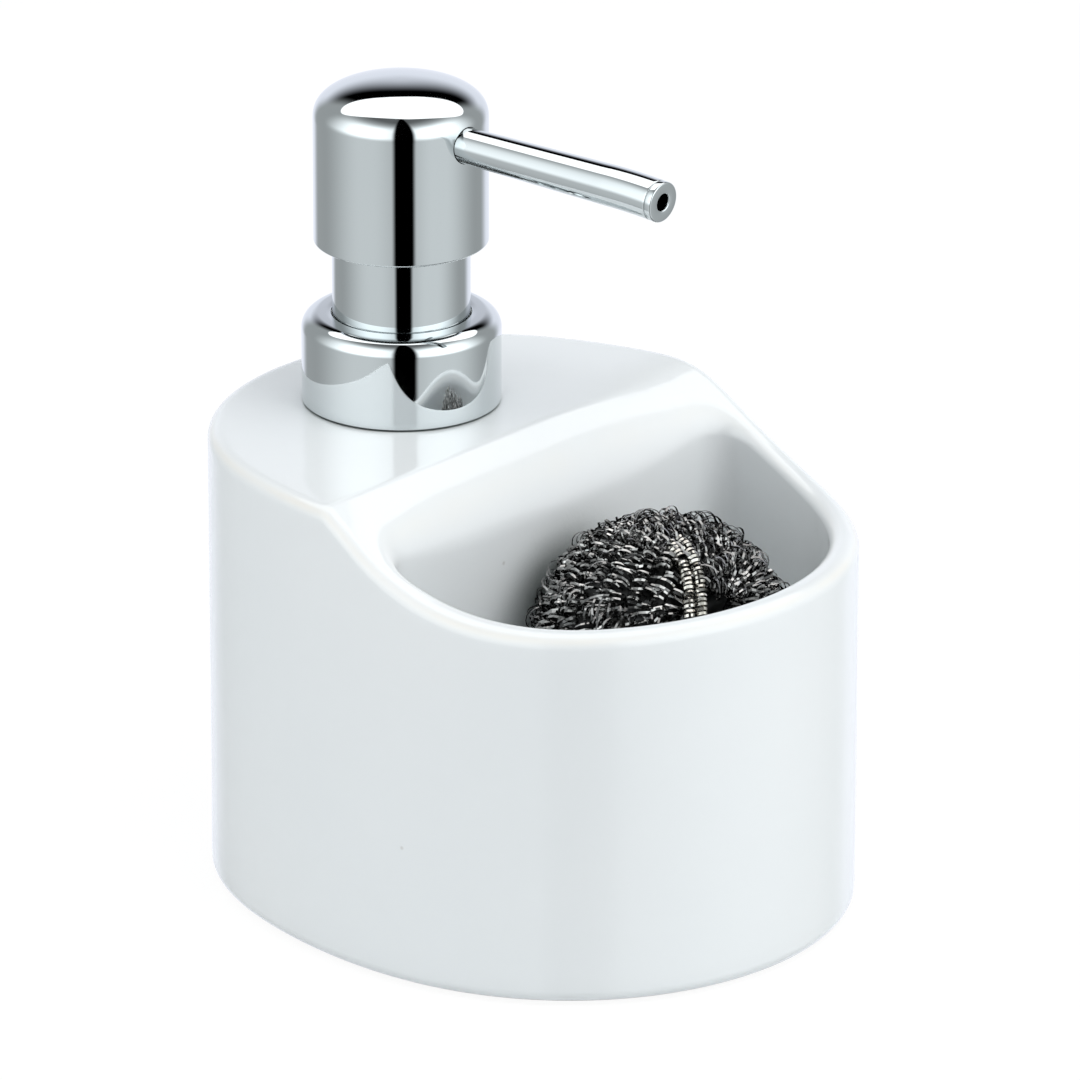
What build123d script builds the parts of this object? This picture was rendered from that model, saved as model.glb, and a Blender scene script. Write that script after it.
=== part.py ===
# Countertop detergent dispenser bottle: a glazed ceramic body with a front tray,
# a lock-down chrome lotion pump and a steel scouring pad lying in the tray.
# Millimetres. +Z is up, the spout and the tray face -Y, Z = 0 is the standing surface,
# and the origin is under the middle of the bounding box.
# Names ending in _r are radii; names ending in _x, _y or _z are coordinates.
from build123d import *
import math
import os

os.makedirs("parts", exist_ok=True)

# ---------------------------------------------------------------- driving dimensions
# ceramic body
foot_gap = 0.5          # the rubber pads lift the ceramic base by this much
body_top = 78.75        # flat top of the ceramic body
# plan outline: r(angle) = mean radius + sum(cosine k * cos(k * angle)), angle from -Y
outline_mean_r = 51.62
outline_cosines = [7.62, 4.27, 0.217, -0.474, 0.02]
outline_y = 7.86        # centre of the polar outline
outline_count = 36      # spline points round the outline
ridge_y = 3.71          # edge between the flat top and the slope down to the tray
ridge_r = 3.0
ridge_angle = math.radians(33)  # steepness of the slope just below the ridge
rim_outer_r = 2.4
base_edge_r = 2.4
neck_hole_r = 13.0
neck_hole_depth = 10.0

# tray
tray_wall = 4.9         # width of the tray's rim
tray_rear_y = -4.9      # rear wall of the tray
tray_floor_z = 34.0
tray_corner_r = 5.5
rim_inner_r = 2.2
tray_floor_r = 4.5      # fillet round the floor

# reservoir
reservoir_wall = 5.2
reservoir_z = foot_gap + 5.5
reservoir_low_top = tray_floor_z - 5.5
reservoir_high_top = body_top - 5.4
reservoir_high_front = 3.4  # front wall of the tall chamber, along Y

# foot pads
foot_spots = [(24, 36), (-24, 36), (27, -31), (-27, -31)]
foot_r = 4.5
foot_recess_r = 4.7
foot_recess_depth = 1.0
foot_end_gap = 0.02     # left between a pad and the end of its recess

# closure
pump_y = 28.16          # pump axis
collar_r = 16.5         # chrome closure cover
collar_bottom = body_top + 0.3
collar_top = body_top + 15.4
collar_wall = 0.8
collar_top_wall = 0.5
collar_shoulder_r = 2.8
collar_inner_shoulder_r = 2.0
collar_hole_r = 11.6
thread_pitch = 4.233    # right-handed, so turning the collar anticlockwise lifts it
thread_turns = 1.25
thread_crest_half = 0.45    # half height of a thread's crest
neck_root_r = 12.6
neck_crest_r = 13.7
neck_bore_r = 10.25
neck_top = body_top + 11.2
nut_bore_r = 13.95
nut_crest_r = 12.9
neck_thread_z = body_top + 4.2
nut_thread_z = neck_thread_z - 1.45
gasket_height = 1.0

# pump
flange_z = neck_top + gasket_height     # underside of the housing's flange
flange_top = flange_z + 1.0
flange_r = 12.55
barrel_r = 7.6
barrel_bore_r = 6.6
barrel_floor = 50.0
dip_tube_r = 3.25
dip_tube_bore_r = 2.3
dip_tube_z = 9.0
dip_tube_length = 36.9
sleeve_r = 11.4         # chrome guide sleeve
sleeve_bore_r = 10.6
sleeve_top = 109.5
stem_r = 3.7
stem_bore_r = 2.3
stem_guide_bore_r = stem_r + 0.08
stem_bottom = 90.0
stem_length = 30.85
spring_r = 4.9
spring_wire_r = 0.45
spring_turns = 7.5
spring_low = 56.0
spring_high = 78.5
spring_end_gap = 0.02
ball_r = 2.5
ball_z = 50.165

# head
head_r = 14.42          # chrome head
head_wall = 1.0
head_bottom = 106.5
head_lip_r = 0.35
head_side_top = 127.6
head_top = 134.2
shoulder_r = 5.6
crown_r = 45.0
core_bottom = 111.0
core_top = 131.0

# spout
spout_z = 125.85
spout_r = 3.4
spout_root_r = 3.0      # the spout widens from here to spout_r at the bend
spout_taper_y = 13.4
spout_bore_r = 2.3
spout_start_y = pump_y - 3.2
spout_bend_y = -17.0    # the spout is straight to here, then bends down
spout_bend_r = 120.0
spout_bend_deg = 4.5
spout_edge_r = 0.25
tip_flange = 1.2
tip_bore_r = 1.45

# scouring pad: plan radius and half height of the full ball
pad_r = 20.8
pad_half_height = 20.0
pad_x = 2.0
pad_y = -26.15
pad_z = 52.2
pad_spans = 14          # steps along the profile

# working rectangle that clips a plan outline at a straight line
clip_width = 160
clip_depth = 120


# ---------------------------------------------------------------- shared helpers
def front_plane(x, y, z):
    """A plane facing -Y, on which a sketch's axes are X and Z."""
    return Plane(origin=(x, y, z), x_dir=(1, 0, 0), z_dir=(0, -1, 0))


pump_plane = front_plane(0, pump_y, 0)
pump_axis = Axis((0, pump_y, 0), (0, 0, 1))


def outline_at(angle, inset):
    """A point of the plan outline moved inward by inset along its normal."""
    radius = outline_mean_r
    slope = 0.0
    for k, cosine in enumerate(outline_cosines, start=1):
        radius += cosine * math.cos(k * angle)
        slope -= cosine * k * math.sin(k * angle)
    x = radius * math.sin(angle)
    y = outline_y - radius * math.cos(angle)
    tangent_x = slope * math.sin(angle) + radius * math.cos(angle)
    tangent_y = -slope * math.cos(angle) + radius * math.sin(angle)
    size = math.hypot(tangent_x, tangent_y)
    # the outward normal is the tangent turned by -90 degrees
    return (x - inset * tangent_y / size, y + inset * tangent_x / size)


def outline_points(inset):
    return [outline_at(2 * math.pi * i / outline_count, inset) for i in range(outline_count)]


def arc_point(center_x, center_z, radius, angle):
    return (center_x + radius * math.cos(angle), center_z + radius * math.sin(angle))


def circles(piece):
    return piece.edges().filter_by(GeomType.CIRCLE)


def save(piece, name):
    piece.part.label = name
    export_step(piece.part, f"parts/{name}.step")


def save_turned(name, profile):
    """A closed profile of (radius, z) points revolved about the pump axis."""
    with BuildPart() as piece:
        with BuildSketch(pump_plane):
            with BuildLine():
                Polyline(*profile, close=True)
            make_face()
        revolve(axis=pump_axis)
    save(piece, name)


def save_threaded(name, profile, helix_r, thread_z, rib_root_r, rib_crest_r, rib_root_half):
    """A turned piece with a thread whose rib tapers from its root to its crest."""
    with BuildPart() as piece:
        with BuildSketch(pump_plane):
            with BuildLine():
                Polyline(*profile, close=True)
            make_face()
        revolve(axis=pump_axis)
        with BuildLine() as helix:
            Helix(
                pitch=thread_pitch,
                height=thread_pitch * thread_turns,
                radius=helix_r,
                center=(0, pump_y, thread_z),
            )
        with BuildSketch(pump_plane):
            with BuildLine():
                Polyline(
                    (rib_root_r, thread_z - rib_root_half),
                    (rib_crest_r, thread_z - thread_crest_half),
                    (rib_crest_r, thread_z + thread_crest_half),
                    (rib_root_r, thread_z + rib_root_half),
                    close=True,
                )
            make_face()
        sweep(path=helix.line, is_frenet=True)
    save(piece, name)


def save_tube(name, bottom, outer_r, bore_r, height):
    """A plain tube on the pump axis."""
    with BuildPart() as piece:
        with BuildSketch(Plane.XY.offset(bottom)):
            with Locations((0, pump_y)):
                Circle(outer_r)
                Circle(bore_r, mode=Mode.SUBTRACT)
        extrude(amount=height)
    save(piece, name)


# ---------------------------------------------------------------- ceramic body
# the reservoir: a tall chamber under the flat top that goes on under the tray's floor
with BuildPart() as reservoir:
    with BuildSketch(Plane.XY.offset(reservoir_z)):
        with BuildLine():
            Spline(*outline_points(reservoir_wall), periodic=True)
        make_face()
    extrude(amount=reservoir_low_top - reservoir_z)
    with BuildSketch(Plane.XY.offset(reservoir_z)):
        with BuildLine():
            Spline(*outline_points(reservoir_wall), periodic=True)
        make_face()
        with Locations((0, reservoir_high_front + clip_depth / 2)):
            Rectangle(clip_width, clip_depth, mode=Mode.INTERSECT)
    extrude(amount=reservoir_high_top - reservoir_z)

# the rounded ridge, as (y, z): it starts on the flat top and ends on the slope
ridge_start = (ridge_y + ridge_r * math.tan(ridge_angle / 2), body_top)
ridge_mid, ridge_end = [
    (
        ridge_start[0] - ridge_r * math.sin(angle),
        body_top - ridge_r * (1 - math.cos(angle)),
    )
    for angle in (ridge_angle / 2, ridge_angle)
]
# the slope from the ridge to beyond the front of the body, as (y, z)
slope_points = [
    ridge_end,
    (0.32, 76.60), (-3.81, 73.65), (-8.97, 70.55), (-15.15, 67.75),
    (-23.4, 65.45), (-33.7, 64.25), (-46.0, 64.35), (-62.0, 65.15),
]
slope_tangents = ((-math.cos(ridge_angle), -math.sin(ridge_angle)), (-1, 0.05))
top_cut_rear_y = 62.0
top_cut_z = body_top + 12

with BuildPart() as ceramic_body:
    with BuildSketch(Plane.XY.offset(foot_gap)):
        with BuildLine():
            Spline(*outline_points(0.0), periodic=True)
        make_face()
    extrude(amount=body_top - foot_gap + 6)
    # the flat top, the ridge and the slope down to the rim, cut straight across in X
    with BuildSketch(Plane.YZ.offset(-clip_width / 2)):
        with BuildLine():
            Line((top_cut_rear_y, body_top), ridge_start)
            ThreePointArc(ridge_start, ridge_mid, ridge_end)
            Spline(*slope_points, tangents=slope_tangents)
            Polyline(
                slope_points[-1],
                (slope_points[-1][0], top_cut_z),
                (top_cut_rear_y, top_cut_z),
                (top_cut_rear_y, body_top),
            )
        make_face()
    extrude(amount=clip_width, mode=Mode.SUBTRACT)
    # top chain of the outer wall, without the straight edges that cross in X
    rim_edges = [
        edge
        for edge in ceramic_body.edges()
        if edge.bounding_box().max.Z > foot_gap + 20
        and not (
            edge.bounding_box().size.Y < 0.01 and edge.bounding_box().size.Z < 0.01
        )
    ]
    fillet(rim_edges, rim_outer_r)
    base_edges = [
        edge
        for edge in ceramic_body.edges()
        if edge.bounding_box().max.Z < foot_gap + 0.01
    ]
    fillet(base_edges, base_edge_r)
    # tray
    with BuildSketch(Plane.XY.offset(tray_floor_z)) as tray_plan:
        with BuildLine():
            Spline(*outline_points(tray_wall), periodic=True)
        make_face()
        with Locations((0, tray_rear_y - clip_depth / 2)):
            Rectangle(clip_width, clip_depth, mode=Mode.INTERSECT)
        fillet(tray_plan.vertices().sort_by(Axis.Y)[-2:], tray_corner_r)
    extrude(amount=60, mode=Mode.SUBTRACT)
    mouth_edges = [
        edge
        for edge in ceramic_body.edges()
        if edge.bounding_box().min.Z > tray_floor_z + 20
        and edge.bounding_box().max.Y < tray_rear_y + 1
        and edge.bounding_box().min.Y > -50
    ]
    fillet(mouth_edges, rim_inner_r)
    floor_edges = [
        edge
        for edge in ceramic_body.edges()
        if abs(edge.bounding_box().min.Z - tray_floor_z) < 0.01
        and abs(edge.bounding_box().max.Z - tray_floor_z) < 0.01
    ]
    fillet(floor_edges, tray_floor_r)
    # neck hole, reservoir and the blind recesses of the foot pads
    with BuildSketch(Plane.XY.offset(body_top + 2)):
        with Locations((0, pump_y)):
            Circle(neck_hole_r)
    extrude(amount=-(neck_hole_depth + 2), mode=Mode.SUBTRACT)
    add(reservoir.part, mode=Mode.SUBTRACT)
    with BuildSketch(Plane.XY.offset(foot_gap - 1)):
        with Locations(*foot_spots):
            Circle(foot_recess_r)
    extrude(amount=foot_recess_depth + 1, mode=Mode.SUBTRACT)
save(ceramic_body, "ceramic_body")

with BuildPart() as foot_pads:
    with BuildSketch():
        with Locations(*foot_spots):
            Circle(foot_r)
    extrude(amount=foot_gap + foot_recess_depth - foot_end_gap)
    fillet([edge for edge in foot_pads.edges() if edge.bounding_box().max.Z < 0.01], 0.3)
save(foot_pads, "foot_pads")

# ---------------------------------------------------------------- closure
# Profiles from here to the pump stem are (radius, z) about the pump axis.
# threaded neck: its spigot is bonded into the ceramic hole, its flange sits on the flat top
neck_profile = [
    (neck_bore_r, body_top - 8.5),
    (12.5, body_top - 8.5),
    (12.8, body_top - 8.2),
    (12.8, body_top),
    (15.0, body_top),
    (15.0, body_top + 1.2),
    (neck_root_r, body_top + 1.2),
    (neck_root_r, neck_top - 0.4),
    (neck_root_r - 0.4, neck_top),
    (neck_bore_r, neck_top),
]
save_threaded(
    "neck_insert",
    neck_profile,
    helix_r=neck_root_r,
    thread_z=neck_thread_z,
    rib_root_r=neck_root_r - 0.5,
    rib_crest_r=neck_crest_r,
    rib_root_half=1.4,
)

# the nut's thread lies just under the neck's thread, so tightening pulls the nut down
nut_profile = [
    (11.5, body_top + 13.72),
    (nut_bore_r, body_top + 13.72),
    (nut_bore_r, body_top + 1.35),
    (15.65, body_top + 1.35),
    (15.65, body_top + 12.8),
    (13.9, body_top + 14.88),
    (11.5, body_top + 14.88),
]
save_threaded(
    "closure_nut",
    nut_profile,
    helix_r=nut_bore_r,
    thread_z=nut_thread_z,
    rib_root_r=nut_bore_r + 0.4,
    rib_crest_r=nut_crest_r,
    rib_root_half=1.35,
)

# chrome cover over the nut: a thin wall with a rounded shoulder
collar_inner_r = collar_r - collar_wall
collar_flat_r = collar_r - collar_shoulder_r
collar_ceiling = collar_top - collar_top_wall
collar_side_top = collar_top - collar_shoulder_r
collar_inner_side_top = collar_ceiling - collar_inner_shoulder_r
with BuildPart() as collar_shroud:
    with BuildSketch(pump_plane):
        with BuildLine():
            Polyline(
                (collar_inner_r, collar_bottom),
                (collar_r, collar_bottom),
                (collar_r, collar_side_top),
            )
            RadiusArc(
                (collar_r, collar_side_top), (collar_flat_r, collar_top), -collar_shoulder_r
            )
            Polyline(
                (collar_flat_r, collar_top),
                (collar_hole_r, collar_top),
                (collar_hole_r, collar_ceiling),
                (collar_flat_r, collar_ceiling),
            )
            RadiusArc(
                (collar_flat_r, collar_ceiling),
                (collar_inner_r, collar_inner_side_top),
                collar_inner_shoulder_r,
            )
            Line((collar_inner_r, collar_inner_side_top), (collar_inner_r, collar_bottom))
        make_face()
    revolve(axis=pump_axis)
    # outer edge of the bottom, then the upper edge of the hole
    fillet(
        [
            edge
            for edge in circles(collar_shroud)
            if edge.bounding_box().max.Z < collar_bottom + 0.01
            and edge.radius > collar_r - 0.1
        ],
        0.25,
    )
    fillet(
        [
            edge
            for edge in circles(collar_shroud)
            if edge.bounding_box().min.Z > collar_top - 0.01
            and edge.radius < collar_hole_r + 0.1
        ],
        0.2,
    )
save(collar_shroud, "collar_shroud")

save_tube("neck_gasket", neck_top, flange_r, 7.8, gasket_height)

# ---------------------------------------------------------------- pump body
# barrel with a flange on top and a socket for the dip tube below
housing_profile = [
    (1.8, 46.0),
    (3.28, 46.0),
    (3.28, 39.8),
    (3.6, 39.5),
    (4.9, 39.5),
    (4.9, 46.2),
    (7.3, 48.2),
    (barrel_r, 48.9),
    (barrel_r, flange_z),
    (flange_r, flange_z),
    (flange_r, flange_top),
    (barrel_bore_r, flange_top),
    (barrel_bore_r, barrel_floor),
    (3.4, barrel_floor),
    (1.8, 48.4),
]
save_turned("pump_housing", housing_profile)

with BuildPart() as dip_tube:
    with BuildSketch(Plane.XY.offset(dip_tube_z)):
        with Locations((0, pump_y)):
            Circle(dip_tube_r)
            Circle(dip_tube_bore_r, mode=Mode.SUBTRACT)
    extrude(amount=dip_tube_length)
    # the suction end is cut at a slant
    with BuildSketch(pump_plane):
        with BuildLine():
            Polyline((-4, 8), (4, 8), (4, 13.2), (-4, 8.6), close=True)
        make_face()
    extrude(amount=5, both=True, mode=Mode.SUBTRACT)
save(dip_tube, "dip_tube")

# cage over the ball: its step carries the spring
cage_profile = [
    (0, 54.5),
    (3.2, 54.5),
    (3.2, barrel_floor + 0.02),
    (6.5, barrel_floor + 0.02),
    (6.5, spring_low - 0.3),
    (6.2, spring_low),
    (3.95, spring_low),
    (3.95, spring_low + 1.6),
    (3.6, spring_low + 2.0),
    (0, spring_low + 2.0),
]
with BuildPart() as ball_cage:
    with BuildSketch(pump_plane):
        with BuildLine():
            Polyline(*cage_profile, close=True)
        make_face()
    revolve(axis=pump_axis)
    # flow windows over the ball
    with BuildSketch(Plane.XY.offset(54.0)):
        with Locations((0, pump_y)):
            with PolarLocations(2.2, 4, 45):
                Circle(0.9)
    extrude(amount=6, mode=Mode.SUBTRACT)
save(ball_cage, "ball_cage")

with BuildPart() as inlet_ball:
    with Locations((0, pump_y, ball_z)):
        Sphere(ball_r)
save(inlet_ball, "inlet_ball")

spring_start_z = spring_low + spring_wire_r + spring_end_gap
spring_rise = spring_high - spring_low - 2 * (spring_wire_r + spring_end_gap)
with BuildPart() as return_spring:
    with BuildLine() as spring_helix:
        Helix(
            pitch=spring_rise / spring_turns,
            height=spring_rise,
            radius=spring_r,
            center=(0, pump_y, spring_start_z),
        )
    with BuildSketch(
        Plane(
            origin=(spring_r, pump_y, spring_start_z),
            x_dir=(1, 0, 0),
            z_dir=spring_helix.line % 0,
        )
    ):
        Circle(spring_wire_r)
    sweep(path=spring_helix.line, is_frenet=True)
save(return_spring, "return_spring")

# stem guide closing the barrel: a skirt inside it, a disc on its flange, a tower round the stem
chaplet_profile = [
    (stem_guide_bore_r, 88.9),
    (6.52, 88.9),
    (6.52, flange_top),
    (10.5, flange_top),
    (10.5, flange_top + 1.2),
    (10.2, flange_top + 1.5),
    (5.4, flange_top + 1.5),
    (5.2, 97.7),
    (4.9, 98.0),
    (stem_guide_bore_r, 98.0),
]
save_turned("chaplet", chaplet_profile)

sleeve_profile = [
    (sleeve_bore_r, flange_top),
    (flange_r, flange_top),
    (flange_r, flange_top + 0.5),
    (sleeve_r, flange_top + 0.5),
    (sleeve_r, sleeve_top - 0.4),
    (sleeve_r - 0.4, sleeve_top),
    (sleeve_bore_r, sleeve_top),
]
save_turned("guide_sleeve", sleeve_profile)

# ---------------------------------------------------------------- moving pump parts
# solid foot on the spring, hollow above, with a spigot in the stem's bore
rod_profile = [
    (0, 76.0),
    (3.4, 76.0),
    (3.8, 76.4),
    (3.8, spring_high),
    (5.5, spring_high),
    (5.5, 79.6),
    (4.6, 80.5),
    (2.8, 80.5),
    (2.8, stem_bottom),
    (stem_bore_r - 0.02, stem_bottom),
    (stem_bore_r - 0.02, 96.7),
    (stem_bore_r - 0.3, 97.0),
    (1.4, 97.0),
    (1.4, 81.0),
    (0, 81.0),
]
with BuildPart() as piston_rod:
    with BuildSketch(pump_plane):
        with BuildLine():
            Polyline(*rod_profile, close=True)
        make_face()
    revolve(axis=pump_axis)
    # cross port, covered by the seal at rest
    with BuildSketch(Plane.YZ.offset(-4)):
        with Locations((pump_y, 81.9)):
            Circle(0.9)
    extrude(amount=8, mode=Mode.SUBTRACT)
save(piston_rod, "piston_rod")

# a hub round the rod, and a web out to a ring with a lip at each end
seal_profile = [
    (2.86, 80.55),
    (4.3, 80.55),
    (4.3, 83.4),
    (5.5, 83.4),
    (5.7, 81.3),
    (6.1, 80.9),
    (6.53, 81.3),
    (6.35, 83.0),
    (6.35, 86.6),
    (6.53, 88.2),
    (6.1, 88.6),
    (5.7, 88.2),
    (5.5, 85.4),
    (4.3, 85.4),
    (4.3, 88.85),
    (2.86, 88.85),
]
save_turned("piston_seal", seal_profile)

save_tube("pump_stem", stem_bottom, stem_r, stem_bore_r, stem_length)

# ---------------------------------------------------------------- head
# the dome is a shoulder arc running into a flatter crown
shoulder_x = head_r - shoulder_r
crown_z = head_top - crown_r
shoulder_end = math.atan2(head_side_top - crown_z, shoulder_x)
crown_mid = (shoulder_end + math.pi / 2) / 2

with BuildPart() as head_shell:
    with BuildSketch(pump_plane):
        with BuildLine():
            Polyline(
                (head_r - head_wall, head_side_top),
                (head_r - head_wall, head_bottom + 0.2),
                (head_r - head_wall + 0.2, head_bottom),
                (head_r - head_lip_r, head_bottom),
            )
            RadiusArc(
                (head_r - head_lip_r, head_bottom),
                (head_r, head_bottom + head_lip_r),
                -head_lip_r,
            )
            Line((head_r, head_bottom + head_lip_r), (head_r, head_side_top))
            # outer face, then inner face
            for inset in (0.0, head_wall):
                arc_r = shoulder_r - inset
                dome_joint = arc_point(shoulder_x, head_side_top, arc_r, shoulder_end)
                ThreePointArc(
                    (head_r - inset, head_side_top),
                    arc_point(shoulder_x, head_side_top, arc_r, shoulder_end / 2),
                    dome_joint,
                )
                Spline(
                    dome_joint,
                    arc_point(0, crown_z, crown_r - inset, crown_mid),
                    (0, head_top - inset),
                    tangents=((-math.sin(shoulder_end), math.cos(shoulder_end)), (-1, 0)),
                )
            Line((0, head_top), (0, head_top - head_wall))
        make_face()
    revolve(axis=pump_axis)
    # clearance hole for the spout
    with BuildSketch(front_plane(0, pump_y - 8, spout_z)):
        Circle(spout_root_r + 0.12)
    extrude(amount=12, mode=Mode.SUBTRACT)
save(head_shell, "head_shell")

# boss round the stem below, wide block filling the head above
core_profile = [
    (0, core_bottom),
    (5.2, core_bottom),
    (5.6, core_bottom + 0.4),
    (5.6, 121.6),
    (13.3, 121.6),
    (13.3, 128.0),
    (11.8, 130.2),
    (9.0, core_top),
    (0, core_top),
]
riser_z = 120.0
with BuildPart() as head_core:
    with BuildSketch(pump_plane):
        with BuildLine():
            Polyline(*core_profile, close=True)
        make_face()
    revolve(axis=pump_axis)
    # stem socket
    with BuildSketch(Plane.XY.offset(core_bottom - 1)):
        with Locations((0, pump_y)):
            Circle(stem_r + 0.02)
    extrude(amount=10.9, mode=Mode.SUBTRACT)
    # riser
    with BuildSketch(Plane.XY.offset(riser_z)):
        with Locations((0, pump_y)):
            Circle(stem_bore_r)
    extrude(amount=spout_z - riser_z, mode=Mode.SUBTRACT)
    # outlet, then the spout's socket
    with BuildSketch(front_plane(0, pump_y, spout_z)):
        Circle(stem_bore_r)
    extrude(amount=4, mode=Mode.SUBTRACT)
    with BuildSketch(front_plane(0, spout_start_y, spout_z)):
        Circle(spout_root_r + 0.03)
    extrude(amount=16, mode=Mode.SUBTRACT)
save(head_core, "head_core")

# ---------------------------------------------------------------- spout
bend = math.radians(spout_bend_deg)
bend_end = (
    0,
    spout_bend_y - spout_bend_r * math.sin(bend),
    spout_z - spout_bend_r * (1 - math.cos(bend)),
)
tube_start_y = spout_start_y - 0.05
# upper half of the straight part's section, as (y, z)
spout_profile = [
    (tube_start_y, spout_z + spout_bore_r),
    (tube_start_y, spout_z + spout_root_r),
    (spout_taper_y, spout_z + spout_root_r),
    (spout_bend_y, spout_z + spout_r),
    (spout_bend_y, spout_z + spout_bore_r),
]
with BuildPart() as spout_tube:
    # straight part: parallel near the head, then tapering out to the bend
    with BuildSketch(Plane.YZ):
        with BuildLine():
            Polyline(*spout_profile, close=True)
        make_face()
    revolve(axis=Axis((0, 0, spout_z), (0, -1, 0)))
    # bend
    with BuildSketch(front_plane(0, spout_bend_y, spout_z)):
        Circle(spout_r)
        Circle(spout_bore_r, mode=Mode.SUBTRACT)
    revolve(
        axis=Axis((0, spout_bend_y, spout_z - spout_bend_r), (1, 0, 0)),
        revolution_arc=spout_bend_deg,
    )
    fillet(
        [
            edge
            for edge in circles(spout_tube)
            if edge.bounding_box().max.Y < bend_end[1] + 1 and edge.radius > spout_r - 0.05
        ],
        spout_edge_r,
    )
save(spout_tube, "spout_tube")

tip_plane = Plane(
    origin=bend_end, x_dir=(1, 0, 0), z_dir=(0, -math.cos(bend), -math.sin(bend))
)
with BuildPart() as spout_tip:
    # flange on the spout's end
    with BuildSketch(tip_plane.offset(0.02)):
        Circle(spout_r)
    extrude(amount=tip_flange)
    fillet(spout_tip.edges(), spout_edge_r)
    # plug inside the spout's bore
    with BuildSketch(tip_plane.offset(0.3)):
        Circle(spout_bore_r - 0.1)
    extrude(amount=-3.8)
    with BuildSketch(tip_plane.offset(tip_flange + 1)):
        Circle(tip_bore_r)
    extrude(amount=-6, mode=Mode.SUBTRACT)
    # mouth of the bore
    chamfer(
        [
            edge
            for edge in circles(spout_tip)
            if edge.bounding_box().min.Y < bend_end[1] - tip_flange * 0.9
            and edge.radius < tip_bore_r + 0.1
        ],
        0.2,
    )
save(spout_tip, "spout_tip")

# ---------------------------------------------------------------- scouring pad
# a flattened ball with a small flat where it lies on the tray's floor
pad_flat_z = tray_floor_z + 0.1
pad_flat_angle = math.degrees(math.asin((pad_flat_z - pad_z) / pad_half_height))
pad_flat_r = pad_r * math.cos(math.radians(pad_flat_angle))
pad_angles = [
    math.radians(pad_flat_angle + (90 - pad_flat_angle) * i / pad_spans)
    for i in range(pad_spans + 1)
]
# from the flat's edge up to the top, as (radius, z)
pad_profile = [
    (pad_r * math.cos(angle), pad_z + pad_half_height * math.sin(angle))
    for angle in pad_angles
]
pad_start_tangent = (
    -pad_r * math.sin(pad_angles[0]),
    pad_half_height * math.cos(pad_angles[0]),
)
with BuildPart() as scourer:
    with BuildSketch(front_plane(pad_x, pad_y, 0)):
        with BuildLine():
            Spline(*pad_profile, tangents=(pad_start_tangent, (-1, 0)))
            Polyline(
                (0, pad_z + pad_half_height),
                (0, pad_flat_z),
                (pad_flat_r, pad_flat_z),
            )
        make_face()
    revolve(axis=Axis((pad_x, pad_y, 0), (0, 0, 1)))
save(scourer, "scourer")
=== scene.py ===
import math

import bpy
import bmesh
import numpy as np
from mathutils import Matrix, Vector


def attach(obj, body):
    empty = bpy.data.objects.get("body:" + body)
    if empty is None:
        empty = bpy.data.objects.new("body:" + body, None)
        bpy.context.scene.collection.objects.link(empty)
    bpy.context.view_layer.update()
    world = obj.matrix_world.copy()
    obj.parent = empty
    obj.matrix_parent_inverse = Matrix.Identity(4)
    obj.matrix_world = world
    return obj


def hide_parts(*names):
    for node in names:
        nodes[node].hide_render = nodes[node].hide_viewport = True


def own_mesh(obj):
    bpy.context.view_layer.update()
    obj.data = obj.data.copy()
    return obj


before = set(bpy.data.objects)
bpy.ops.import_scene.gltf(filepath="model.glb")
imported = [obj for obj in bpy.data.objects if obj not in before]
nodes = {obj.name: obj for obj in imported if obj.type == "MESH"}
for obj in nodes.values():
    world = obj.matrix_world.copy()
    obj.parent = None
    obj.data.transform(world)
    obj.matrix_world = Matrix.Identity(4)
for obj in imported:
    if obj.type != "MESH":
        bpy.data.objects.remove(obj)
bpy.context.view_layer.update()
MM = 0.001

# ---------------------------------------------------------------- shared dimensions (mm), as in the CAD
FOOT = 0.5
TOP = 78.75
R0 = 51.62
RC = [7.62, 4.27, 0.217, -0.474, 0.02]
YC = 7.86
PY = 28.16
RIDGE_Y, RIDGE_R, RIDGE_A = 3.71, 3.0, math.radians(33)
TRAY_WALL, TRAY_REAR, TRAY_FLOOR, TRAY_CORNER = 4.9, -4.9, 34.0, 5.5
R_OUT, R_IN, R_IN_REAR, R_FLOOR, R_BASE = 2.4, 2.2, 6.6, 5.0, 2.4


# ---------------------------------------------------------------- small helpers
def link(obj):
    bpy.context.scene.collection.objects.link(obj)
    return obj


def mesh_object(name, verts_mm, faces, smooth=True):
    me = bpy.data.meshes.new(name)
    v = np.asarray(verts_mm, float) * MM
    me.from_pydata([tuple(p) for p in v], [], [tuple(int(i) for i in f) for f in faces])
    me.update()
    me.polygons.foreach_set("use_smooth", np.full(len(me.polygons), smooth))
    return link(bpy.data.objects.new(name, me))


def sharp_by_angle(obj, degrees):
    obj.data.set_sharp_from_angle(angle=math.radians(degrees))


def arc_pts(cx, cz, r, a0, a1, n):
    """Points on an arc in the (r, z) half plane, angles in degrees."""
    return [
        (cx + r * math.cos(math.radians(a)), cz + r * math.sin(math.radians(a)))
        for a in np.linspace(a0, a1, n)
    ]


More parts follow.
